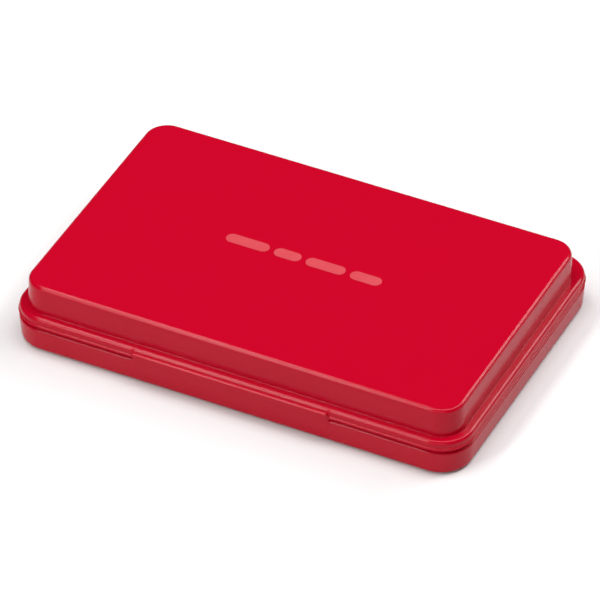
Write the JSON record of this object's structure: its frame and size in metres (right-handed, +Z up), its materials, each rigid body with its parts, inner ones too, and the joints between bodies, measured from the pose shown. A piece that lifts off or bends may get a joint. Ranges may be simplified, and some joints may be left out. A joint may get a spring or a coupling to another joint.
{
  "type": "ink pad",
  "caption": "Flat hinged plastic case with a finger lip, holding a cloth-covered felt pad that inks rubber stamps.",
  "frame": {"origin": "middle of the underside's bounding box, on the surface the closed case stands on", "axes": "+X along the long side, +Y from the finger lip to the hinge, +Z up"},
  "size_m": [0.11, 0.0772, 0.0162],
  "materials": {
    "lid_plastic": "smooth moulded gloss",
    "base_plastic": "smooth moulded gloss",
    "pan_plastic": "matt moulded",
    "frame_plastic": "fine matt texture",
    "felt": "pressed wool felt, ink soaked",
    "foam": "open foam",
    "cloth": "fine plain weave, ink soaked",
    "pin_steel": "drawn wire",
    "label_paper": "blank matt paper"
  },
  "bodies": {
    "base": {"base_tray": "base_plastic", "pad_pan": "pan_plastic", "pad_frame": "frame_plastic", "ink_felt": "felt", "foam_cushion": "foam", "pad_cloth": "cloth", "hinge_pin_left": "pin_steel", "hinge_pin_right": "pin_steel", "underside_label": "label_paper"},
    "lid": {"lid_shell": "lid_plastic"}
  },
  "joints": [
    {"name": "lid_hinge", "type": "hinge", "parent": "base", "child": "lid", "pos_m": [0, 0.037, 0.0063], "axis": [-1, 0, 0], "range_deg": [0, 135]}
  ]
}
